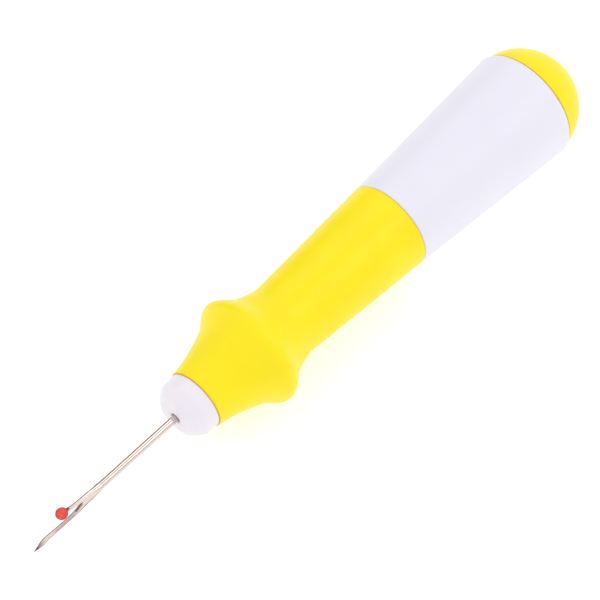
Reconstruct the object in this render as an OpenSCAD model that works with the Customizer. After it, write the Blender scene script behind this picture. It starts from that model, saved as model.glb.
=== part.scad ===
// Seam ripper with a large soft-grip handle.
// It lies on its side: the point is toward -X, the rounded end toward +X, and +Z is up.
// The origin is under the middle of its length, on the surface that it rests on.
// Stations are millimetres along the handle's axis, with 0 at the front edge of the soft grip.

/* [Blade] */
// Length of blade that stands out of the nose
blade_out = 36.3; // [30:0.1:45]
// Diameter of the round shank
shank_d = 1.5; // [1.3:0.1:1.8]
// Thickness of the flattened fork
fork_t = 1; // [0.8:0.1:1.2]
// Distance from the point back to the crotch of the fork
fork_len = 12.1; // [11.6:0.1:13]
// Distance from the crotch forward to the middle of the safety ball
ball_reach = 4.7; // [4.5:0.1:5]
// Diameter of the safety ball
ball_d = 2.5; // [2.2:0.1:3]
// Height of the ball's middle above the axis
ball_rise = 2.3; // [2.1:0.1:2.4]
// Height of the flattened fork where it starts to split
fork_w = 2.2; // [2:0.1:2.4]
// Depth of that part's middle line below the axis
fork_drop = 0.15; // [0:0.05:0.3]
// Depth of the long tine's middle line below the axis
tine_drop = 1.55; // [1.45:0.05:1.65]
// Depth of the point below the axis
point_drop = 2; // [1.9:0.1:2.1]
// Height of the long tine
tine_w = 0.55; // [0.5:0.05:0.7]
// Thickness of the long tine
tine_t = 0.8; // [0.6:0.1:0.9]
// Radius of the rounded, sharpened crotch between the tines
crotch_r = 0.5; // [0.4:0.05:0.55]
// Length of the tang that is moulded into the holder
tang_len = 22; // [16:1:24]

/* [Nose and blade holder] */
// Length of the nose in front of the grip
nose_len = 5.4; // [4:0.1:8]
// Diameter of the nose's straight seat
nose_d = 12.2; // [12:0.1:12.6]
// Diameter of the nose's flat front face
nose_face_d = 7.4; // [6:0.1:8]
// Length of the nose's rounded front edge
nose_edge = 2.9; // [2:0.1:3.2]
// Diameter of the stem that plugs into the handle core
stem_d = 7; // [6.5:0.1:7.2]
// Length of the stem
stem_len = 21; // [18:1:22]

/* [Front grip] */
// Length of the soft front grip
grip_len = 53.3; // [50:0.1:56]
// Diameter of the grip at its front edge
grip_front_d = 12.6; // [12.6:0.1:13.4]
// Station of the finger stop's crest
stop_at = 14.2; // [13:0.1:15]
// Diameter of the finger stop
stop_d = 23.4; // [20:0.2:24]
// Diameter of the neck behind the finger stop
neck_d = 15.6; // [15:0.2:17]
// Diameter of the handle where the grip ends
grip_rear_d = 18.9; // [18.4:0.1:19.6]
// Thickness of the soft skin over the core
skin = 1.8; // [1.2:0.1:2]
// Thickness of the soft skin at the grip's front edge
skin_front = 1.2; // [1:0.1:1.3]

/* [Handle core] */
// Length of bare core that shows behind the grip
band_len = 40; // [30:1:50]
// Diameter of the core at its rear edge
butt_d = 24; // [23.8:0.1:25]
// Radius of the rounded rear edge
butt_round = 0.9; // [0.6:0.1:1.2]

/* [Rear cap] */
// Radius of the domed end
dome_r = 11.7; // [11.6:0.1:12]
// How far the dome stands out behind the core
dome_out = 10.3; // [9:0.1:11]
// Thickness of the dome's soft skin
dome_skin = 2.4; // [1.8:0.1:3]

/* [Hidden] */
$fn = 96;

steps = 8;             // steps along each curve between two knots
play = 0.05;           // clearance of pieces that plug together
tiny = 0.01;
shank_r = shank_d / 2;
grip_rear_r = grip_rear_d / 2;
butt_r = butt_d / 2;
band_end = grip_len + band_len;
point_at = -nose_len - blade_out;
crotch_at = point_at + fork_len;
ball_at = crotch_at - ball_reach;
apex_at = band_end + dome_out;
dome_centre = apex_at - dome_r;
middle = (point_at + apex_at) / 2;
taper = (butt_r - grip_rear_r) / (band_end - grip_len);

// Knots of an outline: [station, radius, slope]
grip_knots = [
    [0, grip_front_d / 2, 0.12],
    [stop_at - 4.3, grip_front_d / 2 + 2.7, 0.4],
    [stop_at, stop_d / 2, 0],
    [stop_at + 4.6, neck_d / 2 + 1.25, -0.35],
    [stop_at + 10.5, neck_d / 2, taper],
    [grip_len, grip_rear_r, taper],
];
land = 1.5;            // length of the core's step that the grip ends on
stop_hub = 2.2;        // how far the core rises under the finger stop
core_knots = [
    [0, grip_front_d / 2 - skin_front, 0],
    [stop_at - 5, grip_front_d / 2 - skin_front + 0.4, 0.2],
    [stop_at, neck_d / 2 - skin + stop_hub, 0],
    [stop_at + 5.5, neck_d / 2 - skin + 0.3, -0.15],
    [stop_at + 10.5, neck_d / 2 - skin, taper],
    [grip_len - land, grip_rear_r - skin - land * taper, taper],
];
// Grooves in the core that the soft grip is moulded into
lock_stations = [4, 33, 45];
lock_w = 1.4;
lock_depth = 0.4;
key_w = 2;             // width of the four keyways along the neck
key_depth = 0.6;
key_span = [25, 50];

socket_r = stem_d / 2;
socket_end = stem_len + 1;
snap_at = stem_len - 3.5;   // station of the stem's snap ring
snap_h = 0.35;
snap_w = 1.2;
stem_key_w = 1.5;
stem_key_r = socket_r + 0.7;
stem_key_len = 14;

wall_end = socket_end + 2;  // inside face of the wall behind the socket
cavity_front_r = neck_d / 2 - skin - 1.7;
cavity_mid_r = grip_rear_r - skin - 1.6;
cavity_wide_r = grip_rear_r - 2;
cavity_rear_r = butt_r - 2.45;

plug_len = 13;         // length of the plug's skirt inside the core
skirt_wall = 1.5;
plug_snap_at = band_end - 8;
rim_t = 1.3;           // thickness of the plug's rim behind the core
rim_r = dome_r - 0.9;
waist_w = 1.6;         // groove behind the rim that holds the dome's lip
waist_r = rim_r - 3.4;

// Point of the curve between knots a and b, at t from 0 to 1, as [radius, station]
function between(a, b, t) =
    let (w = b[0] - a[0])
    [(2 * pow(t, 3) - 3 * t * t + 1) * a[1] + (pow(t, 3) - 2 * t * t + t) * w * a[2]
        + (3 * t * t - 2 * pow(t, 3)) * b[1] + (pow(t, 3) - t * t) * w * b[2],
     a[0] + w * t];

// Points of the smooth line through all the knots
function outline(knots) = concat(
    [for (i = [0:len(knots) - 2]) for (j = [0:steps - 1])
        between(knots[i], knots[i + 1], j / steps)],
    [[knots[len(knots) - 1][1], knots[len(knots) - 1][0]]]);

// Points of an ellipse's arc about [r, z], from angle a to angle b
function arc(r, z, rr, rz, a, b, n) =
    [for (i = [0:n]) let (t = a + (b - a) * i / n) [r + rr * cos(t), z + rz * sin(t)]];

// Lays a shape that is made along +Z onto the handle's axis
module on_axis() {
    translate([-middle, 0, butt_r]) rotate([0, 90, 0]) children();
}

// Turned shape from points given as [radius, station]
module turned(points) {
    rotate_extrude() polygon(points);
}

module ring(station, r_in, r_out, w) {
    translate([0, 0, station]) difference() {
        cylinder(r = r_out, h = w, center = true);
        cylinder(r = r_in, h = w + 1, center = true);
    }
}

// Flat plate in the upright plane through the axis, from points given as [height, station]
module upright(points, t) {
    rotate([90, 0, 0]) linear_extrude(t, center = true)
        polygon([for (p = points) [-p[0], p[1]]]);
}

// ---- Blade ----

fork_root = crotch_at + 4.9;        // station where the round shank starts to flatten
plate_end = crotch_at + 2.9;        // station where the fork is flat
stub_at = ball_at + 0.3;            // the short tine's end, inside the ball
stub_w = 0.5;
stub_slope = -0.3;                  // the short tine rises toward the ball
crotch_z = 0.2;                     // height of the crotch's middle
crotch_s = crotch_at - crotch_r;    // station of the crotch's middle
open_a = 20;                        // angles where the crotch's arc meets the tines
close_a = 150;
fork_top = fork_w / 2 - fork_drop;
fork_under = -fork_w / 2 - fork_drop;
tine_top = tine_w / 2 - tine_drop;
tine_under = -tine_w / 2 - tine_drop;
bend_at = crotch_at - 2.4;          // the short tine is straight from here to the ball
bend_top = ball_rise - 0.5;
bend_under = ball_rise - 1.1;
heel_at = crotch_at + 0.4;          // the underside drops to the long tine here
heel = 0.33;
belly_at = point_at + 1.5;          // the point's underside bulges here
belly = 0.35;
hump_at = point_at + 2.9;           // the tine's top swells a little behind the point
hump = 0.24;
point_t = 0.08;                     // thickness of the point's very end

// Edges of the fork, each a list of knots [station, height, slope]
upper_edge = outline([
    [fork_root, shank_r, 0], [plate_end, fork_top, -0.12],
    [bend_at, bend_top, stub_slope], [stub_at, ball_rise + stub_w / 2, stub_slope]]);
inner_short = outline([
    [stub_at, ball_rise - stub_w / 2, stub_slope], [bend_at, bend_under, stub_slope],
    [crotch_s + crotch_r * sin(open_a), crotch_z + crotch_r * cos(open_a), -tan(open_a)]]);
inner_long = outline([
    [crotch_s + crotch_r * sin(close_a), crotch_z + crotch_r * cos(close_a), -tan(close_a)],
    [bend_at, tine_top, 0.1], [hump_at, tine_top + hump, -0.03],
    [point_at, -point_drop, 0.45]]);
outer_edge = outline([
    [point_at, -point_drop, -0.35], [belly_at, -point_drop - belly, 0.05],
    [point_at + 3.7, tine_under, 0.02], [crotch_at - 1.2, tine_under, 0.05],
    [heel_at, fork_under - heel, 0.2], [plate_end, fork_under, 0.12], [fork_root, -shank_r, 0]]);

// Half the blade's thickness along the fork: round shank, flat fork, needle point
half_thickness = [
    [shank_r, fork_root], [fork_t / 2, plate_end], [tine_t / 2, crotch_at - 3],
    [tine_t / 2, point_at + 3], [tine_t / 4, point_at + 1], [point_t / 2, point_at]];

module fork() {
    intersection() {
        upright(concat(upper_edge, inner_short,
            arc(crotch_z, crotch_s, crotch_r, crotch_r, open_a, close_a, 12),
            inner_long, outer_edge), 2 * shank_d);
        rotate([0, 0, 90]) upright(
            concat(half_thickness, [for (i = [len(half_thickness) - 1:-1:0])
                [-half_thickness[i][0], half_thickness[i][1]]]),
            2 * butt_r);
        // Round envelope, so that the flat fork grows out of the round shank
        turned([
            [0, fork_root], [shank_r, fork_root], [shank_r + 0.7, crotch_at + 2.5],
            [4, crotch_at - 1], [4, point_at - 1], [0, point_at - 1]]);
    }
}

tang_from = 4;                      // station where the tang starts to flatten
tang_to = tang_len - nose_len;
paddle_w = 2.6;
notch = 0.45;

module tang() {
    upright([
        [shank_r, tang_from], [paddle_w / 2, tang_from + 2],
        [paddle_w / 2, tang_from + 4.5], [paddle_w / 2 - notch, tang_from + 5.2],
        [paddle_w / 2, tang_from + 6], [paddle_w / 2, tang_from + 8.5],
        [paddle_w / 2 - notch, tang_from + 9.2], [paddle_w / 2, tang_from + 10],
        [paddle_w / 2 - 0.4, tang_to], [0.4 - paddle_w / 2, tang_to],
        [-paddle_w / 2, tang_from + 10], [notch - paddle_w / 2, tang_from + 9.2],
        [-paddle_w / 2, tang_from + 8.5], [-paddle_w / 2, tang_from + 6],
        [notch - paddle_w / 2, tang_from + 5.2], [-paddle_w / 2, tang_from + 4.5],
        [-paddle_w / 2, tang_from + 2], [-shank_r, tang_from]],
        fork_t);
}

module steel() {
    fork();
    translate([0, 0, fork_root]) cylinder(r = shank_r, h = tang_from + 1 - fork_root);
    tang();
}

module blade() {
    color("silver") on_axis() steel();
}

module ball_tip() {
    color("tomato") on_axis() difference() {
        translate([-ball_rise, 0, ball_at]) sphere(d = ball_d);
        fork();
    }
}

// ---- Blade holder: the nose and the stem behind it ----

nose_r = nose_d / 2;
nose_face_r = nose_face_d / 2;
nose_knots = [
    [-nose_len, nose_face_r, 2.5],
    [0.3 * nose_edge - nose_len, nose_face_r + 0.52 * (nose_r - nose_face_r), 0.75],
    [nose_edge - nose_len, nose_r, 0],
];
nose_points = concat(
    [[0, -nose_len]], outline(nose_knots),
    [[nose_r, 0], [socket_r - play, 0], [socket_r - play, stem_len - 1],
     [socket_r - 0.8, stem_len], [0, stem_len]]);

module stem_keys(grow) {
    intersection() {
        translate([-stem_key_r - 1, -stem_key_w / 2 - grow, 0])
            cube([2 * stem_key_r + 2, stem_key_w + 2 * grow, stem_key_len + 2 * grow]);
        cylinder(r = stem_key_r + grow, h = 2 * stem_len);
    }
}

module blade_holder() {
    color("whitesmoke") on_axis() difference() {
        union() {
            turned(nose_points);
            ring(snap_at, 1, socket_r + snap_h - play, snap_w - 2 * play);
            stem_keys(-play);
        }
        // Small dish where the shank comes out
        translate([0, 0, -nose_len - tiny]) cylinder(r1 = shank_r + 0.5, r2 = shank_r, h = 0.5);
        steel();
    }
}

// ---- Handle core ----

band_points = concat(
    [[grip_rear_r - skin - land * taper, grip_len - land], [grip_rear_r - skin, grip_len],
     [grip_rear_r, grip_len]],
    arc(butt_r - butt_round, band_end - butt_round, butt_round, butt_round, 0, 60, 4),
    [[butt_r - butt_round + 0.3, band_end], [0, band_end], [0, 0]]);

cavity_points = [
    [0, wall_end], [cavity_front_r, wall_end], [cavity_mid_r, grip_len - 1],
    [cavity_wide_r, grip_len + 3], [cavity_rear_r, band_end - plug_len],
    [cavity_rear_r, band_end + 1], [0, band_end + 1]];

// Four keyways of even depth along the neck
module keyways() {
    difference() {
        for (a = [0:90:270]) rotate([0, 0, a])
            translate([0, -key_w / 2, key_span[0]])
                cube([butt_r, key_w, key_span[1] - key_span[0]]);
        turned(concat(
            [for (p = outline(core_knots)) [p[0] - key_depth, p[1]]],
            [[0, grip_len - land], [0, 0]]));
    }
}

// Outside of the core, with what the soft grip is moulded into
module core_outside() {
    difference() {
        turned(concat(outline(core_knots), band_points));
        for (s = lock_stations)
            ring(s, lookup(s, [for (k = core_knots) [k[0], k[1]]]) - lock_depth, butt_r, lock_w);
        keyways();
    }
}

module handle_core() {
    color("ghostwhite") on_axis() difference() {
        core_outside();
        translate([0, 0, -1]) cylinder(r = socket_r, h = socket_end + 1);
        ring(snap_at, 1, socket_r + snap_h, snap_w);
        stem_keys(0);
        translate([0, 0, socket_end - 1]) cylinder(r = 1, h = 4);
        turned(cavity_points);
        ring(plug_snap_at, 1, cavity_rear_r + snap_h, snap_w);
    }
}

// ---- Soft front grip ----

module front_grip() {
    color("gold") on_axis() difference() {
        turned(concat(outline(grip_knots), [[0, grip_len], [0, 0]]));
        core_outside();
        translate([0, 0, -1]) cylinder(r = grip_front_d / 2 - skin_front, h = 2);
    }
}

// ---- Rear cap: hard plug and soft dome ----

plug_dome_r = dome_r - dome_skin;
waist_end = band_end + rim_t + waist_w;

plug_points = concat(
    [[cavity_rear_r - play - skirt_wall, band_end - plug_len],
     [cavity_rear_r - play, band_end - plug_len], [cavity_rear_r - play, band_end],
     [rim_r, band_end], [rim_r, band_end + rim_t],
     [waist_r, band_end + rim_t], [waist_r, waist_end]],
    arc(0, dome_centre, plug_dome_r, plug_dome_r,
        asin((waist_end - dome_centre) / plug_dome_r), 90, 10),
    [[0, apex_at - dome_skin - 2], [waist_r - 2, waist_end],
     [waist_r - 2, band_end]]);

module plug_body() {
    turned(plug_points);
    ring(plug_snap_at, cavity_rear_r - 0.5, cavity_rear_r + snap_h - play, snap_w - 2 * play);
}

module end_plug() {
    color("lightgray") on_axis() plug_body();
}

dome_points = concat(
    arc(0, dome_centre, dome_r, dome_r, asin((band_end - dome_centre) / dome_r), 90, 16),
    [[0, band_end]]);

module end_dome() {
    color("gold") on_axis() difference() {
        turned(dome_points);
        plug_body();
        cylinder(r = waist_r - 1, h = waist_end);
        turned([[0, band_end - 1], [waist_r - 1, band_end - 1], [waist_r - 1, waist_end],
            [0, apex_at - dome_skin - 1]]);
    }
}

blade();
ball_tip();
blade_holder();
handle_core();
front_grip();
end_plug();
end_dome();
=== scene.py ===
import math

import bmesh
import bpy
from mathutils import Matrix, Vector, noise


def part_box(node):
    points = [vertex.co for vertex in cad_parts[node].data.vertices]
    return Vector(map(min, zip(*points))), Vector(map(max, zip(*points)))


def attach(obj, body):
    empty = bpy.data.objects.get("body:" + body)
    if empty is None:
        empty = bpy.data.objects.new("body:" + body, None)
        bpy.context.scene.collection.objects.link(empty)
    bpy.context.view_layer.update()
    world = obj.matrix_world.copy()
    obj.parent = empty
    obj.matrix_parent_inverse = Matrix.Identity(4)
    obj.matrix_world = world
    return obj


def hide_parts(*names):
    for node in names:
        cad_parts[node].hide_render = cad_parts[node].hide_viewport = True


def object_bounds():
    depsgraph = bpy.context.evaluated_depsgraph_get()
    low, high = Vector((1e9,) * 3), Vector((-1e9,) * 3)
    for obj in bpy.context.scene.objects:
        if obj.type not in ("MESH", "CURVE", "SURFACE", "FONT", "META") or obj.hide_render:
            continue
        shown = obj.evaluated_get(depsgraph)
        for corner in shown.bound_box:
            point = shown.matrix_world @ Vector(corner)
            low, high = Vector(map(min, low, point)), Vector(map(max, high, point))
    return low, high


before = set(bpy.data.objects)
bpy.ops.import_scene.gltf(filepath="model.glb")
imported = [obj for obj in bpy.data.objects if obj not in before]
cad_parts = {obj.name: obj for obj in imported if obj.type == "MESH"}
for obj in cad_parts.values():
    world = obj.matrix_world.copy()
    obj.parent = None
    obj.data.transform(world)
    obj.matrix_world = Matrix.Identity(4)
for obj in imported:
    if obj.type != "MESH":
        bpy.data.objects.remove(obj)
cad_low, cad_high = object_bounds()

MM = 0.001

# ---- Where things are, worked out from the frame ----
# A station is a distance in mm along the handle's axis, from the front edge of the soft grip.

grip_low, grip_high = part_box("front_grip")
core_low, core_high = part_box("handle_core")
nose_low, nose_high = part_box("blade_holder")
blade_low, blade_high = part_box("blade")
ball_low, ball_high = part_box("ball_tip")
plug_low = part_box("end_plug")[0]
dome_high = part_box("end_dome")[1]

AXIS_Z = (core_low.z + core_high.z) / 2


def station_of(x):
    return (x - grip_low.x) / MM


def x_of(station):
    return grip_low.x + station * MM


GRIP_LEN = station_of(grip_high.x)
BAND_END = station_of(core_high.x)
APEX = station_of(dome_high.x)
NOSE_FRONT = station_of(nose_low.x)
STEM_END = station_of(nose_high.x)
POINT = station_of(blade_low.x)
TANG_END = station_of(blade_high.x)
STOP_R = (grip_high.z - grip_low.z) / 2 / MM
BUTT_R = (core_high.z - core_low.z) / 2 / MM
NOSE_R = (nose_high.z - nose_low.z) / 2 / MM
SHANK_R = (blade_high.y - blade_low.y) / 2 / MM
BALL_R = (ball_high.x - ball_low.x) / 2 / MM
BALL_AT = station_of((ball_low.x + ball_high.x) / 2)
BALL_RISE = ((ball_low.z + ball_high.z) / 2 - AXIS_Z) / MM

# Outline of the handle, in mm, the same as the CAD model's
GRIP_FRONT_R = 6.3
STOP_AT = 14.2
NECK_R = 7.8
GRIP_REAR_R = 9.45
SKIN = 1.8
SKIN_FRONT = 1.2
TAPER = (BUTT_R - GRIP_REAR_R) / (BAND_END - GRIP_LEN)


# ---- Curves ----

def between(a, b, t):
    """Point between knots a and b, each (station, value, slope), at t from 0 to 1."""
    w = b[0] - a[0]
    value = ((2 * t**3 - 3 * t**2 + 1) * a[1] + (t**3 - 2 * t**2 + t) * w * a[2]
             + (3 * t**2 - 2 * t**3) * b[1] + (t**3 - t**2) * w * b[2])
    return a[0] + w * t, value


def curve(knots, step=0.5):
    """Points (station, value) on the smooth line through the knots, about step apart."""
    points = []
    for a, b in zip(knots, knots[1:]):
        n = max(2, round(abs(b[0] - a[0]) / step))
        points += [between(a, b, i / n) for i in range(n)]
    return points + [knots[-1][:2]]


def value_at(knots, station):
    """Value of the smooth line through the knots, which run in rising or falling order."""
    for a, b in zip(knots, knots[1:]):
        if min(a[0], b[0]) <= station <= max(a[0], b[0]):
            return between(a, b, (station - a[0]) / (b[0] - a[0]))[1]
    ends = sorted([knots[0], knots[-1]])
    return ends[0][1] if station < ends[0][0] else ends[1][1]


def spread(start, end, step):
    """Even stations from start up to, but not including, end."""
    n = max(1, round(abs(end - start) / step))
    return [start + (end - start) * i / n for i in range(n)]


def arc(s, r, rs, rr, start, end, n):
    """Points on an ellipse's arc about (s, r), with angles in degrees from the +r direction."""
    angles = [math.radians(start + (end - start) * i / n) for i in range(n + 1)]
    return [(s + rs * math.sin(a), r + rr * math.cos(a)) for a in angles]


def rounded(corners):
    """Closed outline from (s, r) points and (s, r, radius) corners, softened to about that radius."""
    out = []
    count = len(corners)
    for i, corner in enumerate(corners):
        here = Vector(corner[:2])
        if len(corner) == 2:
            out.append(tuple(here))
            continue
        back = Vector(corners[i - 1][:2]) - here
        ahead = Vector(corners[(i + 1) % count][:2]) - here
        half = back.angle(ahead) / 2
        inset = min(corner[2] / math.tan(half), 0.45 * back.length, 0.45 * ahead.length)
        start = here + back.normalized() * inset
        end = here + ahead.normalized() * inset
        for k in range(5):
            t = k / 4
            point = start * (1 - t) ** 2 + here * 2 * t * (1 - t) + end * t**2
            out.append(tuple(point))
    return out


# ---- Mesh helpers ----

def mesh_object(name, bm, material):
    bmesh.ops.recalc_face_normals(bm, faces=bm.faces)
    mesh = bpy.data.meshes.new(name)
    bm.to_mesh(mesh)
    bm.free()
    for face in mesh.polygons:
        face.use_smooth = True
    mesh.materials.append(material)
    obj = bpy.data.objects.new(name, mesh)
    bpy.context.scene.collection.objects.link(obj)
    return obj


SEAM_HALF = math.radians(1.6)


def turn_angles(count):
    """Angles round the axis, with extra ones on the two moulding lines at the sides."""
    angles = [2 * math.pi * i / count for i in range(count)]
    angles = [a for a in angles if min(a % math.pi, math.pi - a % math.pi) > SEAM_HALF * 1.2]
    for side in (0, math.pi):
        angles += [(side + SEAM_HALF * k) % (2 * math.pi) for k in (-1, -0.5, 0, 0.5, 1)]
    return sorted(angles)


def seam_height(angle):
    """1 on a moulding line at the side, falling to 0 beside it."""
    off = min(angle % math.pi, math.pi - angle % math.pi)
    return max(0.0, 1 - off / SEAM_HALF)


def turned(name, outline, material, relief, count=192, height=0.0):
    """Solid of revolution about the handle's axis, raised by height mm.

    outline is a closed list of (station, radius), or one that starts and ends on the axis.
    relief(station, radius, angle) gives the mm by which a point stands out.
    """
    bm = bmesh.new()
    angles = turn_angles(count)
    rings = []
    middle = AXIS_Z + height * MM
    for s, r in outline:
        if r == 0:
            rings.append([bm.verts.new((x_of(s), 0, middle))])
            continue
        ring = []
        for a in angles:
            out = (r + relief(s, r, a)) * MM
            ring.append(bm.verts.new((x_of(s), out * math.cos(a), middle + out * math.sin(a))))
        rings.append(ring)
    closed = len(rings[0]) > 1
    pairs = list(zip(rings, rings[1:])) + ([(rings[-1], rings[0])] if closed else [])
    n = len(angles)
    for a, b in pairs:
        for k in range(n):
            j = (k + 1) % n
            if len(a) == 1:
                bm.faces.new((a[0], b[j], b[k]))
            elif len(b) == 1:
                bm.faces.new((a[k], a[j], b[0]))
            else:
                bm.faces.new((a[k], a[j], b[j], b[k]))
    return mesh_object(name, bm, material)


def finish_piece(piece, node):
    """Fix the piece to the handle in place of the CAD node, which it hides; the piece keeps the material
    slot its mesh was made with.
    """
    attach(piece, "root")
    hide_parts(node)


# ---- Material helpers ----

class Finish:
    """A procedural material being built round one Principled shader."""

    def __init__(self, name):
        self.material = bpy.data.materials.new(name)
        self.material.use_nodes = True
        self.tree = self.material.node_tree
        self.tree.nodes.clear()
        output = self.node("ShaderNodeOutputMaterial")
        self.shader = self.node("ShaderNodeBsdfPrincipled")
        self.link(self.shader.outputs["BSDF"], output.inputs["Surface"])
        self.place = self.node("ShaderNodeTexCoord").outputs["Object"]
        self.normal = None

    def node(self, kind, **settings):
        made = self.tree.nodes.new(kind)
        for key, value in settings.items():
            setattr(made, key, value)
        return made

    def link(self, a, b):
        self.tree.links.new(a, b)

    def set(self, **values):
        for key, value in values.items():
            self.shader.inputs[key.replace("_", " ")].default_value = value

    def noise(self, size_mm, detail=2.0, rough=0.5, stretch=(1, 1, 1)):
        """Noise whose features are about size_mm across, drawn out along an axis by stretch."""
        mapping = self.node("ShaderNodeMapping")
        mapping.inputs["Scale"].default_value = [1 / k for k in stretch]
        self.link(self.place, mapping.inputs["Vector"])
        made = self.node("ShaderNodeTexNoise")
        made.inputs["Scale"].default_value = 1 / (size_mm * MM)
        made.inputs["Detail"].default_value = detail
        made.inputs["Roughness"].default_value = rough
        self.link(mapping.outputs["Vector"], made.inputs["Vector"])
        return made.outputs["Fac"]

    def ramp(self, source, stops, smooth=True):
        made = self.node("ShaderNodeValToRGB")
        made.color_ramp.interpolation = "EASE" if smooth else "LINEAR"
        elements = made.color_ramp.elements
        while len(elements) < len(stops):
            elements.new(0.5)
        for element, (at, colour) in zip(elements, stops):
            element.position = at
            element.color = (*colour, 1)
        self.link(source, made.inputs["Fac"])
        return made.outputs["Color"]

    def scaled(self, source, low, high):
        made = self.node("ShaderNodeMapRange")
        made.inputs["To Min"].default_value = low
        made.inputs["To Max"].default_value = high
        self.link(source, made.inputs["Value"])
        return made.outputs["Result"]

    def mixed(self, factor, a, b, blend="MIX"):
        """Colour a turned into colour b by factor; each may be a socket or a colour."""
        made = self.node("ShaderNodeMix", data_type="RGBA", blend_type=blend)
        sockets = [s for s in made.inputs if s.enabled]
        for socket, value in zip(sockets, (factor, a, b)):
            if isinstance(value, bpy.types.NodeSocket):
                self.link(value, socket)
            elif isinstance(value, (int, float)):
                socket.default_value = value
            else:
                socket.default_value = (*value, 1)
        return [s for s in made.outputs if s.enabled][0]

    def graded(self, source, stops, metres):
        """Grey value for a distance in metres: stops are (mm, value) in rising order of mm."""
        first, last = stops[0][0], stops[-1][0]
        made = self.node("ShaderNodeMapRange")
        made.inputs["From Min"].default_value = metres(first)
        made.inputs["From Max"].default_value = metres(last)
        self.link(source, made.inputs["Value"])
        greys = [((at - first) / (last - first), (v, v, v)) for at, v in stops]
        return self.ramp(made.outputs["Result"], greys, smooth=False)

    def along(self, stops):
        """Grey value that changes with the station: stops are (station, value)."""
        split = self.node("ShaderNodeSeparateXYZ")
        self.link(self.place, split.inputs["Vector"])
        return self.graded(split.outputs["X"], stops, x_of)

    def round_axis(self, stops):
        """Grey value that changes with the distance from the handle's axis: stops are (mm, value)."""
        offset = self.node("ShaderNodeVectorMath", operation="SUBTRACT")
        self.link(self.place, offset.inputs[0])
        offset.inputs[1].default_value = (0, 0, AXIS_Z)
        flat = self.node("ShaderNodeVectorMath", operation="MULTIPLY")
        self.link(offset.outputs["Vector"], flat.inputs[0])
        flat.inputs[1].default_value = (0, 1, 1)
        length = self.node("ShaderNodeVectorMath", operation="LENGTH")
        self.link(flat.outputs["Vector"], length.inputs[0])
        return self.graded(length.outputs["Value"], stops, lambda r: r * MM)

    def bump(self, source, depth_mm):
        made = self.node("ShaderNodeBump")
        made.inputs["Strength"].default_value = 1.0
        made.inputs["Distance"].default_value = depth_mm * MM
        self.link(source, made.inputs["Height"])
        if self.normal:
            self.link(self.normal, made.inputs["Normal"])
        self.normal = made.outputs["Normal"]
        self.link(self.normal, self.shader.inputs["Normal"])


def soft_yellow(name, seam_shade_stops):
    """Matt elastomer with a fine moulded grain, and painted shade in a deeper orange where it meets a seam.
    """
    f = Finish(name)
    tone = f.ramp(f.noise(9, 3), [(0.3, (0.865, 0.705, 0.002)), (0.7, (0.905, 0.735, 0.004))])
    speck = f.ramp(f.noise(0.35, 2), [(0.42, (0, 0, 0)), (0.75, (1, 1, 1))])
    tone = f.mixed(f.scaled(speck, 0, 0.25), tone, (0.91, 0.755, 0.012))
    # Painted shade: a darker orange tone along the seams, in place of the shadow in the groove.
    tone = f.mixed(f.along(seam_shade_stops), tone, (0.74, 0.40, 0.04))
    f.link(tone, f.shader.inputs["Base Color"])
    f.link(f.scaled(f.noise(3, 3), 0.34, 0.44), f.shader.inputs["Roughness"])
    f.set(IOR=1.48, Specular_IOR_Level=0.3)
    f.bump(f.noise(0.16, 3, 0.6), 0.01)
    f.bump(f.noise(2.2, 2), 0.025)
    return f.material


def moulded_white(name, tones, rough, ripple_mm, recess_shade=None):
    """Moulded hard plastic: slightly cloudy colour, soft orange-peel and a few fine scuffs.

    The last argument gives painted shade: how grey the plastic is at some distances from the handle's axis,
    as stops (mm, share).
    """
    f = Finish(name)
    tone = f.ramp(f.noise(ripple_mm * 3, 3), [(0.25, tones[0]), (0.5, tones[1]), (0.75, tones[2])])
    # Painted shade: a grey tone near the axis, in place of the shadow in a recess.
    if recess_shade:
        tone = f.mixed(f.round_axis(recess_shade), tone, (0.36, 0.34, 0.345))
    f.link(tone, f.shader.inputs["Base Color"])
    scuff = f.ramp(f.noise(0.5, 3, 0.6, stretch=(14, 1, 1)), [(0.62, (0, 0, 0)), (0.72, (1, 1, 1))])
    f.link(f.scaled(f.mixed(0.35, f.noise(4, 3), scuff), *rough), f.shader.inputs["Roughness"])
    f.set(IOR=1.5)
    f.bump(f.noise(ripple_mm, 2), 0.006)
    f.bump(f.noise(0.25, 2), 0.0015)
    return f.material


def red_gloss():
    """Red bead under a clear red lacquer, deeper in tone toward its rim, with a dark collar."""
    f = Finish("red_enamel")
    tone = f.ramp(f.noise(0.8, 3), [(0.35, (0.86, 0.13, 0.105)), (0.65, (0.98, 0.235, 0.2))])
    collar = f.along([(BALL_AT - BALL_R, 0), (BALL_AT + 0.85 * BALL_R, 0), (BALL_AT + 1.15 * BALL_R, 0.9),
                      (BALL_AT + 1.6 * BALL_R, 0.9)])
    tone = f.mixed(collar, tone, (0.12, 0.03, 0.025))
    f.link(tone, f.shader.inputs["Base Color"])
    f.link(f.scaled(f.noise(0.5, 2), 0.2, 0.34), f.shader.inputs["Roughness"])
    f.set(IOR=1.5, Coat_Weight=1.0, Coat_IOR=1.06, Coat_Roughness=0.1, Coat_Tint=(0.8, 0.52, 0.5, 1))
    f.bump(f.noise(0.6, 2), 0.02)
    return f.material


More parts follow.
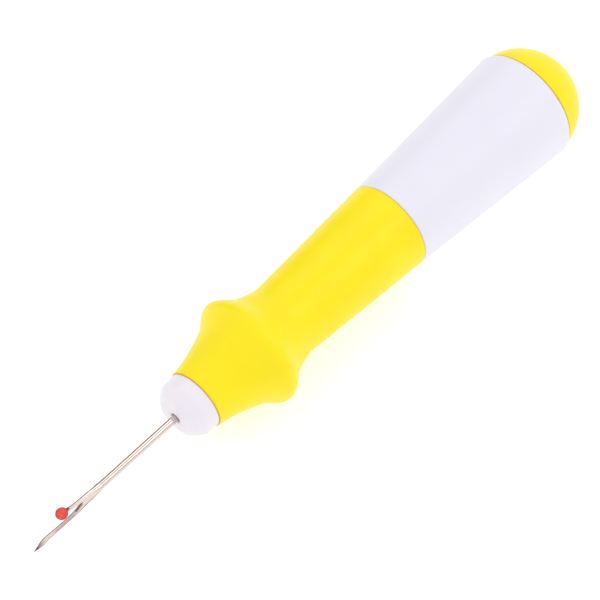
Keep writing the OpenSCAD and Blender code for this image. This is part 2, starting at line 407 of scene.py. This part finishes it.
def ground_steel():
    """Nickel-plated steel with fine lengthwise grinding marks, duller on the fork, with painted dark
    reflection and shade on the ground crotch, the point and the sheared edges.
    """
    f = Finish("plated_steel")
    grind = f.noise(0.05, 3, 0.6, stretch=(60, 1, 1))
    tone = f.ramp(f.noise(1.2, 3, 0.6, stretch=(6, 1, 1)),
                  [(0.35, (0.63, 0.52, 0.475)), (0.65, (0.68, 0.57, 0.525))])
    tone = f.mixed(f.scaled(grind, 0, 0.2), tone, (0.76, 0.67, 0.63))
    # Painted shade and dark reflection: the per-vertex mark darkens the ground crotch, the point and the far
    # and under sheared edges.
    ground_edge_and_shade_at = f.node("ShaderNodeAttribute", attribute_name="ground_edge_and_shade")
    uneven = f.ramp(f.noise(0.35, 3), [(0.25, (0.65, 0.65, 0.65)), (0.65, (1, 1, 1))])
    dark = f.mixed(1.0, ground_edge_and_shade_at.outputs["Fac"], uneven, "MULTIPLY")
    tone = f.mixed(dark, tone, (0.09, 0.062, 0.048))
    f.link(tone, f.shader.inputs["Base Color"])
    fork_rough = f.along([(CROTCH_AT, 0.24), (FORK_ROOT + 1, 0.0)])
    rough = f.node("ShaderNodeMath", operation="ADD")
    f.link(f.scaled(grind, 0.08, 0.2), rough.inputs[0])
    f.link(fork_rough, rough.inputs[1])
    f.link(rough.outputs["Value"], f.shader.inputs["Roughness"])
    f.set(Metallic=1.0)
    f.bump(grind, 0.002)
    return f.material


def moulded_grey():
    """Hard grey plastic of the plug, which the dome hides."""
    f = Finish("plug_plastic")
    tone = f.ramp(f.noise(5, 3), [(0.3, (0.52, 0.52, 0.54)), (0.7, (0.58, 0.58, 0.6))])
    f.link(tone, f.shader.inputs["Base Color"])
    f.link(f.scaled(f.noise(1.5, 3), 0.4, 0.55), f.shader.inputs["Roughness"])
    f.set(IOR=1.5)
    f.bump(f.noise(0.3, 2), 0.01)
    return f.material


# ---- Soft front grip ----

grip_knots = [
    (0, GRIP_FRONT_R, 0.12), (STOP_AT - 4.3, GRIP_FRONT_R + 2.7, 0.4), (STOP_AT, STOP_R, 0),
    (STOP_AT + 4.6, NECK_R + 1.25, -0.35), (STOP_AT + 10.5, NECK_R, TAPER),
    (GRIP_LEN, GRIP_REAR_R, TAPER)]
core_knots = [
    (0, GRIP_FRONT_R - SKIN_FRONT, 0), (STOP_AT - 5, GRIP_FRONT_R - SKIN_FRONT + 0.4, 0.2),
    (STOP_AT, NECK_R - SKIN + 2.2, 0), (STOP_AT + 5.5, NECK_R - SKIN + 0.3, -0.15),
    (STOP_AT + 10.5, NECK_R - SKIN, TAPER), (GRIP_LEN, GRIP_REAR_R - SKIN, TAPER)]


def trimmed(points, low, high):
    """The points whose station is between low and high."""
    return [p for p in points if low < p[0] < high]


def soft_relief(s, r, a):
    """Slight unevenness of a soft skin in mm, in large and small waves, and its thin moulding lines."""
    p = Vector((s, r * math.cos(a), r * math.sin(a)))
    return 0.05 * noise.noise(p / 7) + 0.02 * noise.noise(p / 2.3) + 0.03 * seam_height(a)


def make_grip():
    """Sleeve with the finger stop, hollow where the core runs through it."""
    outside = trimmed(curve(grip_knots), 0.4, GRIP_LEN - 0.6)
    inside = trimmed(curve(core_knots, 1.0), 0.5, GRIP_LEN - 0.5)
    outline = rounded(
        [(0, GRIP_FRONT_R, 0.16)] + outside + [(GRIP_LEN, GRIP_REAR_R, 0.3)]
        + [(GRIP_LEN, GRIP_REAR_R - SKIN)] + inside[::-1] + [(0, GRIP_FRONT_R - SKIN_FRONT)])

    def relief(s, r, a):
        """The soft skin's unevenness, on the outside only."""
        return soft_relief(s, r, a) if r > value_at(core_knots, s) + 0.6 else 0

    # Stops (station, share) for the painted shade in the grooves at the grip's front and rear edges.
    seam_shade_stops = [(-0.2, 0.9), (0.02, 0.8), (0.28, 0.0), (GRIP_LEN - 0.3, 0.0), (GRIP_LEN - 0.05, 0.7),
             (GRIP_LEN + 0.2, 0.8)]
    grip = turned("grip_sleeve", outline, soft_yellow("soft_yellow_grip", seam_shade_stops), relief)
    finish_piece(grip, "front_grip")


# ---- Hard core with the bare white band ----

BUTT_ROUND = 0.9
LAND = 1.5
SOCKET_R = 3.5
SOCKET_END = 22
WALL = 2
CAVITY_FRONT_R = NECK_R - SKIN - 1.7
CAVITY_MID_R = GRIP_REAR_R - SKIN - 1.6
CAVITY_WIDE_R = GRIP_REAR_R - 2
CAVITY_REAR_R = BUTT_R - 2.45
PLUG_FRONT = station_of(plug_low.x)
VENT_R = 1.0


def make_core():
    """Barrel from under the grip to the dome, with a socket in front and a cavity open to the rear."""
    under = trimmed(curve(core_knots, 1.0), 0, GRIP_LEN - LAND)
    band = [(GRIP_LEN + i, GRIP_REAR_R + TAPER * i) for i in range(1, int(BAND_END - GRIP_LEN) - 1)]
    shoulder = arc(BAND_END - BUTT_ROUND, BUTT_R - BUTT_ROUND, BUTT_ROUND, BUTT_ROUND, 4, 62, 8)
    outline = rounded(
        [(0, GRIP_FRONT_R - SKIN_FRONT)] + under
        + [(GRIP_LEN - LAND, GRIP_REAR_R - SKIN - LAND * TAPER), (GRIP_LEN, GRIP_REAR_R - SKIN)]
        + [(GRIP_LEN, GRIP_REAR_R, 0.32)] + band + shoulder
        + [(BAND_END, BUTT_R - BUTT_ROUND + 0.25), (BAND_END, CAVITY_REAR_R, 0.1),
           (PLUG_FRONT, CAVITY_REAR_R), (GRIP_LEN + 3, CAVITY_WIDE_R, 0.8),
           (GRIP_LEN - 1, CAVITY_MID_R, 0.8), (SOCKET_END + WALL, CAVITY_FRONT_R, 0.4),
           (SOCKET_END + WALL, VENT_R), (SOCKET_END, VENT_R), (SOCKET_END, SOCKET_R),
           (0, SOCKET_R, 0.1)])

    def relief(s, r, a):
        """Faint waves and moulding lines on the bare band, lowered to stay inside its size."""
        if s < GRIP_LEN + 0.5 or r < GRIP_REAR_R:
            return 0
        p = Vector((s, r * math.cos(a), r * math.sin(a)))
        return 0.015 * noise.noise(p / 9) + 0.012 * seam_height(a) - 0.02

    tones = [(0.73, 0.715, 0.805), (0.74, 0.725, 0.815), (0.75, 0.735, 0.825)]
    white = moulded_white("white_core", tones, (0.45, 0.55), 3.0)
    core = turned("core_barrel", outline, white, relief)
    finish_piece(core, "handle_core")


# ---- White nose with its stem ----

NOSE_EDGE = 2.9
NOSE_FACE_R = 3.7
nose_knots = [
    (NOSE_FRONT, NOSE_FACE_R, 2.5),
    (NOSE_FRONT + 0.3 * NOSE_EDGE, NOSE_FACE_R + 0.52 * (NOSE_R - NOSE_FACE_R), 0.75),
    (NOSE_FRONT + NOSE_EDGE, NOSE_R, 0)]


def make_nose():
    """Nose round the shank, with the dish in front and the stem that plugs into the core behind."""
    front = curve(nose_knots, 0.12)[1:]
    side = spread(NOSE_FRONT + NOSE_EDGE + 0.25, -0.4, 0.25)
    face = [(NOSE_FRONT, r) for r in spread(1.5, NOSE_FACE_R - 0.5, 0.3)]
    stem_r = SOCKET_R - 0.05
    snap = STEM_END - 3.5
    slot_end = TANG_END + 0.05
    slot_r = 1.35
    hole_r = SHANK_R + 0.01
    outline = rounded(
        [(slot_end, 0), (slot_end, slot_r), (TANG_FROM, slot_r), (TANG_FROM - 0.5, hole_r),
         (NOSE_FRONT + 0.5, hole_r), (NOSE_FRONT + 0.02, SHANK_R + 0.45, 0.12)]
        + face + [(NOSE_FRONT, NOSE_FACE_R, 0.3)] + front + [(s, NOSE_R) for s in side]
        + [(-0.01, NOSE_R, 0.2), (-0.01, stem_r), (snap - 0.6, stem_r), (snap - 0.4, stem_r + 0.3, 0.1),
           (snap + 0.4, stem_r + 0.3, 0.1), (snap + 0.6, stem_r), (STEM_END - 1, stem_r),
           (STEM_END, stem_r - 0.8), (STEM_END, 0)])

    def relief(s, r, a):
        """Soft lumps on the nose, lowered to stay inside its size, and none near its ends."""
        if s > -0.3 or r < 2:
            return 0
        p = Vector((s, r * math.cos(a), r * math.sin(a)))
        swell = min(1.0, (r - 2) / 2) * min(1.0, (-0.3 - s) / 0.5)
        return swell * (0.09 * noise.noise(p / 2.2 + Vector((3, 0, 0))) + 0.03 * noise.noise(p / 0.8) - 0.08)

    tones = [(0.745, 0.725, 0.82), (0.775, 0.735, 0.80), (0.79, 0.73, 0.785)]
    # Painted shade in the dish round the shank, greyest next to the hole.
    dish_shade = [(SHANK_R, 1.0), (SHANK_R + 0.15, 0.6), (SHANK_R + 0.45, 0.0)]
    white = moulded_white("white_nose", tones, (0.4, 0.55), 0.9, dish_shade)
    nose = turned("nose_collar", outline, white, relief)
    finish_piece(nose, "blade_holder")


# ---- Domed end ----

DOME_R = 11.7
DOME_SKIN = 2.4
RIM_T = 1.3
RIM_R = DOME_R - 0.9
WAIST_W = 1.6
WAIST_R = RIM_R - 3.4
# Degrees of the dome's arc that its rounded front edge takes up
EDGE_TURN = 3.5


def make_dome():
    """Thick skin over the plug, held in a groove behind the plug's rim."""
    centre = APEX - DOME_R
    start = math.degrees(math.asin((BAND_END - centre) / DOME_R))
    edge_r = math.sqrt(DOME_R**2 - (BAND_END - centre) ** 2)
    outer = arc(centre, 0, DOME_R, DOME_R, start + EDGE_TURN, 90, 60)
    plug_r = DOME_R - DOME_SKIN + 0.02
    waist_end = BAND_END + RIM_T + WAIST_W
    inner = arc(centre, 0, plug_r, plug_r, 90, math.degrees(math.asin((waist_end - centre) / plug_r)), 24)
    outer[-1] = (APEX, 0)
    inner[0] = (centre + plug_r, 0)
    outline = rounded(
        inner + [(waist_end, WAIST_R), (BAND_END + RIM_T, WAIST_R), (BAND_END + RIM_T, RIM_R),
                 (BAND_END, RIM_R), (BAND_END, edge_r, 0.3)] + outer)

    def relief(s, r, a):
        """The soft skin's unevenness on the outside only, fading toward the apex."""
        if math.hypot(s - centre, r) < DOME_R - 0.4 or r < 0.4:
            return 0
        return soft_relief(s, r, a) * min(1.0, r / 4) - 0.03

    # Stops (station, share) for the painted shade in the groove where the dome meets the white band.
    seam_shade_stops = [(BAND_END - 0.2, 0.8), (BAND_END + 0.05, 0.7), (BAND_END + 0.3, 0.0), (APEX, 0.0)]
    dome = turned("dome_cap", outline, soft_yellow("soft_yellow_dome", seam_shade_stops), relief)
    finish_piece(dome, "end_dome")


# ---- Blade ----

CROTCH_AT = POINT + 12.1
FORK_ROOT = CROTCH_AT + 4.9
PLATE_END = CROTCH_AT + 2.9
FORK_TOP = 0.95
FORK_UNDER = -1.25
CROTCH_R = 0.5
CROTCH_Z = 0.2
CROTCH_S = CROTCH_AT - CROTCH_R
TINE_TOP = -1.275
TINE_UNDER = -1.825
POINT_DROP = 2.0
BELLY = 0.35
HUMP = 0.24
HEEL = 0.33
STUB_AT = BALL_AT + 0.3
STUB_W = 0.5
TINE_SLOPE = -0.3
BEND_AT = CROTCH_AT - 2.4
BEND_TOP = BALL_RISE - 0.5
BEND_UNDER = BALL_RISE - 1.1
OPEN_A = math.radians(20)
CLOSE_A = math.radians(150)
PLATE_HALF_T = 0.5
TINE_HALF_T = 0.4
POINT_HALF_T = 0.04

upper_edge = [
    (FORK_ROOT, SHANK_R, 0), (PLATE_END, FORK_TOP, -0.12), (BEND_AT, BEND_TOP, TINE_SLOPE),
    (STUB_AT, BALL_RISE + STUB_W / 2, TINE_SLOPE)]
inner_short = [
    (STUB_AT, BALL_RISE - STUB_W / 2, TINE_SLOPE), (BEND_AT, BEND_UNDER, TINE_SLOPE),
    (CROTCH_S + CROTCH_R * math.sin(OPEN_A), CROTCH_Z + CROTCH_R * math.cos(OPEN_A), -math.tan(OPEN_A))]
inner_long = [
    (CROTCH_S + CROTCH_R * math.sin(CLOSE_A), CROTCH_Z + CROTCH_R * math.cos(CLOSE_A), -math.tan(CLOSE_A)),
    (BEND_AT, TINE_TOP, 0.1), (POINT + 2.9, TINE_TOP + HUMP, -0.03), (POINT, -POINT_DROP, 0.45)]
outer_edge = [
    (POINT, -POINT_DROP, -0.35), (POINT + 1.5, -POINT_DROP - BELLY, 0.05), (POINT + 3.7, TINE_UNDER, 0.02),
    (CROTCH_AT - 1.2, TINE_UNDER, 0.05), (CROTCH_AT + 0.4, FORK_UNDER - HEEL, 0.2),
    (PLATE_END, FORK_UNDER, 0.12), (FORK_ROOT, -SHANK_R, 0)]
half_thickness = [
    (POINT, POINT_HALF_T, 0.25), (POINT + 1, TINE_HALF_T / 2, 0.14), (POINT + 3, TINE_HALF_T, 0),
    (CROTCH_AT - 3, TINE_HALF_T, 0), (PLATE_END, PLATE_HALF_T, 0.04), (FORK_ROOT, SHANK_R, 0)]

# The cutting edge: round the crotch and a little way along the long tine
cutting_edge = (
    [between(inner_short[1], inner_short[2], 0.7 + 0.3 * k / 4) for k in range(5)]
    + [(CROTCH_S + CROTCH_R * math.sin(a), CROTCH_Z + CROTCH_R * math.cos(a))
       for a in [OPEN_A + (CLOSE_A - OPEN_A) * k / 16 for k in range(1, 17)]]
    + [between(inner_long[0], inner_long[1], k / 12) for k in range(1, 8)])
KEEN = 0.03
BEVEL_W = 0.3
GROUND_W = 0.09

# How far the sheared edges are rounded in, and the exponent that shapes them: 1 is round, less is squarer
EDGE_ROUND = 0.26
SQUARENESS = 0.65


def reach(s, z):
    """Distance in mm from the cutting edge."""
    here = Vector((s, z))
    best = 99.0
    for a, b in zip(cutting_edge, cutting_edge[1:]):
        start, along = Vector(a), Vector(b) - Vector(a)
        t = max(0.0, min(1.0, (here - start).dot(along) / along.length_squared))
        best = min(best, (here - start - along * t).length)
    return best


def inner_edge(s, knots, side):
    """Height of a tine's inner edge: an arc round the crotch, then the smooth line onward."""
    if s >= (knots[-1][0] if side > 0 else knots[0][0]):
        return CROTCH_Z + side * math.sqrt(max(0.0, CROTCH_R**2 - (s - CROTCH_S) ** 2))
    return value_at(knots, s)


def half_section(low, high, half_t, crown):
    """Points (y, z) from (-half_t, low) over the edge at high, whose last crown mm is rounded, and back."""
    height = abs(high - low)
    crown = min(crown, height)
    square = SQUARENESS + (1 - SQUARENESS) * min(1, crown / half_t) ** 3
    way = math.copysign(1, high - low)
    side = [(half_t, (height - crown) * k / 6) for k in range(6)]
    for k in range(13):
        a = math.pi / 2 * k / 12
        side.append((half_t * abs(math.cos(a)) ** square, height - crown + crown * math.sin(a) ** square))
    side[-1] = (0.0, height)
    side = [(y, low + way * up) for y, up in side]
    return [(-y, z) for y, z in side] + side[-2::-1]


def ground_edge_and_shade(s, y, z):
    """From 0 to 1, how dark the steel is painted: dark reflection round the ground crotch and at the point,
    and shade and dark reflection along the sheared edges.
    """
    ground = 1.8 - reach(s, z) / GROUND_W
    point = (POINT + 2.4 - s) / 1.6
    on_fork = min(1.0, (FORK_ROOT + 1 - s) / 1.5)
    under = on_fork * min(1, (0.65 - z + value_at(outer_edge, s)) / 0.2)
    far = on_fork * min(1, (0.3 - value_at(half_thickness, s) + y) / 0.1)
    low = max(0, min(1, (CROTCH_Z + 0.25 - z) / 0.5))
    behind = max(0, min(1, (s - CROTCH_AT + 1.6) / 1.2))
    # Behind the crotch the far side's lower half gets no painted shade, and ahead of it the underside's
    # painted shade is half as dark
    far *= 1 - low * behind
    under *= 0.5 + 0.5 * behind
    return max(0.0, min(1.0, max(ground, point, under, far)))


def strip(bm, rows):
    """Faces between rows of points, each row (station, [(y, z), ...]), with the ground bevel cut in."""
    layer = bm.verts.layers.float.get("ground_edge_and_shade") or bm.verts.layers.float.new("ground_edge_and_shade")
    made = []
    for s, row in rows:
        verts = []
        for y, z in row:
            if s < CROTCH_AT + 1:
                limit = KEEN + (PLATE_HALF_T - KEEN) * reach(s, z) / BEVEL_W
                y = math.copysign(min(abs(y), limit), y)
            vert = bm.verts.new((x_of(s), y * MM, AXIS_Z + z * MM))
            # Each vertex of the fork keeps its share of painted shade and dark reflection.
            if s < FORK_ROOT + 1:
                vert[layer] = ground_edge_and_shade(s, y, z)
            verts.append(vert)
        made.append(verts)
    for a, b in zip(made, made[1:]):
        for k in range(len(a) - 1):
            bm.faces.new((a[k], a[k + 1], b[k + 1], b[k]))


TANG_FROM = 4
TANG_ROUND = 0.1
PADDLE = 1.3
NOTCH = 0.45
tang_edge = [
    (TANG_FROM, SHANK_R), (TANG_FROM + 2, PADDLE), (TANG_FROM + 4.5, PADDLE),
    (TANG_FROM + 5.2, PADDLE - NOTCH), (TANG_FROM + 6, PADDLE), (TANG_FROM + 8.5, PADDLE),
    (TANG_FROM + 9.2, PADDLE - NOTCH), (TANG_FROM + 10, PADDLE), (TANG_END, PADDLE - 0.4)]


def straight_at(points, s):
    """Value of the straight lines through the points (station, value)."""
    for a, b in zip(points, points[1:]):
        if a[0] <= s <= b[0]:
            return a[1] + (b[1] - a[1]) * (s - a[0]) / (b[0] - a[0])
    return points[0][1] if s < points[0][0] else points[-1][1]


def body_row(s, side):
    """Half of the blade's section behind the crotch: side is 1 above and -1 below."""
    if s >= TANG_FROM:
        flat = min(1.0, (s - TANG_FROM) / 1.5)
        half_t = SHANK_R + (PLATE_HALF_T - SHANK_R) * flat
        crown = SHANK_R + (TANG_ROUND - SHANK_R) * flat
        return s, half_section(0, side * straight_at(tang_edge, s), half_t, crown)
    if s >= FORK_ROOT:
        return s, half_section(0, side * SHANK_R, SHANK_R, SHANK_R)
    t = (FORK_ROOT - s) / (FORK_ROOT - CROTCH_AT)
    split = CROTCH_Z * t * t * (3 - 2 * t)
    outer = value_at(upper_edge if side > 0 else outer_edge, s)
    crown = SHANK_R + (EDGE_ROUND - SHANK_R) * min(1, 2 * t)
    return s, half_section(split, outer, value_at(half_thickness, s), crown)


def tine(bm, side, outer_knots, inner_knots, stations):
    """The outer and the inner half of one tine, from the crotch forward."""
    outer_rows = []
    inner_rows = []
    for s in stations:
        inner = inner_edge(s, inner_knots, side)
        outer = value_at(outer_knots, s)
        ahead = CROTCH_AT - s
        middle = inner + (outer - inner) * min(0.5, 0.9 * ahead)
        half_t = value_at(half_thickness, s)
        outer_rows.append((s, half_section(middle, outer, half_t, EDGE_ROUND)))
        inner_rows.append((s, half_section(middle, inner, half_t, EDGE_ROUND)))
    strip(bm, outer_rows)
    strip(bm, inner_rows)


def make_blade():
    """Two strips behind the crotch, the upper and the lower half, and two for each tine, all joined."""
    bm = bmesh.new()
    tang = [TANG_END] + [s for s, _ in tang_edge[-2::-1]] + [0.5]
    shank = spread(NOSE_FRONT + 1, FORK_ROOT, 1.5)
    root = spread(FORK_ROOT, CROTCH_AT + 0.6, 0.2) + spread(CROTCH_AT + 0.6, CROTCH_AT, 0.05)
    for side in (1, -1):
        strip(bm, [body_row(s, side) for s in tang + shank + root + [CROTCH_AT]])
    near = [CROTCH_S + CROTCH_R * math.sin(math.radians(a)) for a in range(90, 15, -5)]
    short = near + spread(near[-1] - 0.1, STUB_AT, 0.15) + [STUB_AT]
    long = near + spread(near[-1] - 0.1, CROTCH_AT - 3, 0.1) + spread(CROTCH_AT - 3, POINT + 3, 0.3)
    long += spread(POINT + 3, POINT, 0.15) + [POINT]
    tine(bm, 1, upper_edge, inner_short, short)
    tine(bm, -1, outer_edge, inner_long, long)
    bmesh.ops.remove_doubles(bm, verts=bm.verts, dist=1e-7)
    bmesh.ops.dissolve_degenerate(bm, edges=bm.edges, dist=1e-7)
    bmesh.ops.holes_fill(bm, edges=[e for e in bm.edges if e.is_boundary], sides=0)
    blade = mesh_object("fork_blade", bm, ground_steel())
    finish_piece(blade, "blade")


# ---- Red ball ----

def make_ball():
    """Bead that is moulded round the short tine, a little longer than it is wide, with a thin collar."""
    across = 0.93 * BALL_R
    collar_share = 0.45
    outline = arc(BALL_AT, 0, BALL_R, across, -90, 90 - math.degrees(math.asin(collar_share)), 36)
    outline[0] = (BALL_AT - BALL_R, 0)
    s, r = outline[-1]
    outline += [(s + 0.08, r - 0.07), (s + 0.2, r - 0.12), (s + 0.4, r - 0.16), (s + 0.62, r - 0.2),
                (s + 0.7, r - 0.24), (s + 0.72, r - 0.32), (s + 0.6, 0)]

    def relief(s, r, a):
        p = Vector((s, r * math.cos(a), r * math.sin(a)))
        return 0.05 * noise.noise(p / 0.7) - 0.02 if r > 0.2 else 0

    ball = turned("safety_ball", outline, red_gloss(), relief, count=72, height=BALL_RISE)
    centre = Vector((x_of(BALL_AT), 0, AXIS_Z + BALL_RISE * MM))
    tilt = Matrix.Rotation(math.atan(-TINE_SLOPE), 4, "Y")
    ball.data.transform(Matrix.Translation(centre) @ tilt @ Matrix.Translation(-centre))
    finish_piece(ball, "ball_tip")


# ---- Floor, light and camera ----

FLOOR_GLOW = 0.5
SKY = 1.02


def make_floor():
    """Pale table that glows softly, so that the object has hardly any shadow."""
    half = 2.0
    corners = [(-half, -half, 0), (half, -half, 0), (half, half, 0), (-half, half, 0)]
    mesh = bpy.data.meshes.new("floor")
    mesh.from_pydata(corners, [], [(0, 1, 2, 3)])
    floor = bpy.data.objects.new("floor", mesh)
    bpy.context.scene.collection.objects.link(floor)
    f = Finish("pale_floor")
    tone = f.ramp(f.noise(60, 2), [(0.3, (0.675, 0.675, 0.675)), (0.7, (0.685, 0.685, 0.685))])
    f.link(tone, f.shader.inputs["Base Color"])
    f.set(Roughness=0.8, Specular_IOR_Level=0.1, Emission_Color=(1, 1, 1, 1), Emission_Strength=FLOOR_GLOW)
    mesh.materials.append(f.material)


def away(azimuth, elevation):
    """Direction from the object to a viewer at that azimuth and elevation, in degrees."""
    a, e = math.radians(azimuth), math.radians(elevation)
    return Vector((math.sin(a) * math.cos(e), -math.cos(a) * math.cos(e), math.sin(e)))


def make_world():
    """White studio all round, with a dark patch low down behind the object and a dimmer one overhead."""
    world = bpy.data.worlds.new("studio")
    bpy.context.scene.world = world
    world.use_nodes = True
    tree = world.node_tree
    tree.nodes.clear()
    new, link = tree.nodes.new, tree.links.new
    way = new("ShaderNodeTexCoord").outputs["Generated"]

    def patch(direction, outside, inside, around, level):
        """Strength that is level inside a cone, around outside it, and fades between the two angles."""
        toward = new("ShaderNodeVectorMath")
        toward.operation = "DOT_PRODUCT"
        link(way, toward.inputs[0])
        toward.inputs[1].default_value = direction
        made = new("ShaderNodeMapRange")
        made.interpolation_type = "SMOOTHSTEP"
        made.inputs["From Min"].default_value = math.cos(math.radians(outside))
        made.inputs["From Max"].default_value = math.cos(math.radians(inside))
        made.inputs["To Min"].default_value = around
        made.inputs["To Max"].default_value = level
        link(toward.outputs["Value"], made.inputs["Value"])
        return made.outputs["Result"]

    def product(a, b):
        made = new("ShaderNodeMath")
        made.operation = "MULTIPLY"
        link(a, made.inputs[0])
        link(b, made.inputs[1])
        return made.outputs["Value"]

    # The room is a little brighter on the far side, toward +Y
    split = new("ShaderNodeSeparateXYZ")
    link(way, split.inputs["Vector"])
    lean = new("ShaderNodeMapRange")
    lean.inputs["From Min"].default_value = -1
    lean.inputs["To Min"].default_value = 0.9
    lean.inputs["To Max"].default_value = 1.16
    link(split.outputs["Y"], lean.inputs["Value"])
    patches = product(patch(away(156, 9), 24, 14, SKY, 0.0), patch(away(84, 66), 14, 6, 1, 0.6))
    studio = new("ShaderNodeBackground")
    studio.inputs["Color"].default_value = (1, 1, 1, 1)
    link(product(patches, lean.outputs["Result"]), studio.inputs["Strength"])
    # What the camera sees directly is plain white
    plain = new("ShaderNodeBackground")
    plain.inputs["Color"].default_value = (1, 1, 1, 1)
    path = new("ShaderNodeLightPath")
    either = new("ShaderNodeMixShader")
    link(path.outputs["Is Camera Ray"], either.inputs["Fac"])
    link(studio.outputs["Background"], either.inputs[1])
    link(plain.outputs["Background"], either.inputs[2])
    output = new("ShaderNodeOutputWorld")
    link(either.outputs["Shader"], output.inputs["Surface"])


def make_light(name, azimuth, elevation, distance, size, watts):
    data = bpy.data.lights.new(name, "AREA")
    data.shape = "DISK"
    data.size = size
    data.energy = watts
    lamp = bpy.data.objects.new(name, data)
    bpy.context.scene.collection.objects.link(lamp)
    way = away(azimuth, elevation)
    lamp.location = way * distance
    lamp.rotation_mode = "QUATERNION"
    lamp.rotation_quaternion = (-way).to_track_quat("-Z", "Y")
    lamp.visible_camera = False


CAMERA_AZIMUTH = -47.07
CAMERA_ELEVATION = 56.88
CAMERA_DISTANCE = 0.5316
LENS = 169.25
# Where the camera aims, in mm from the middle of the CAD model in plan and from the axis upward
AIM = (-1.8, 0.87, 0.04)


def make_camera():
    data = bpy.data.cameras.new("camera")
    data.lens = LENS
    data.sensor_width = 36
    data.clip_start = 0.05
    data.clip_end = 20
    camera = bpy.data.objects.new("camera", data)
    bpy.context.scene.collection.objects.link(camera)
    middle = (cad_low + cad_high) / 2
    aim = Vector((middle.x, middle.y, AXIS_Z)) + Vector(AIM) * MM
    way = away(CAMERA_AZIMUTH, CAMERA_ELEVATION)
    camera.location = aim + way * CAMERA_DISTANCE
    camera.rotation_mode = "QUATERNION"
    camera.rotation_quaternion = (-way).to_track_quat("-Z", "Y")
    bpy.context.scene.camera = camera


bpy.context.scene.view_settings.view_transform = "Standard"
make_camera()
make_world()
make_floor()
make_light("key_softbox", azimuth=44, elevation=50, distance=0.9, size=0.45, watts=0.95)
make_light("back_softbox", azimuth=137, elevation=57, distance=0.9, size=0.25, watts=0.35)
make_grip()
make_core()
make_nose()
make_dome()
make_ball()
make_blade()

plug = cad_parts["end_plug"]
plug.data.materials.clear()
plug.data.materials.append(moulded_grey())
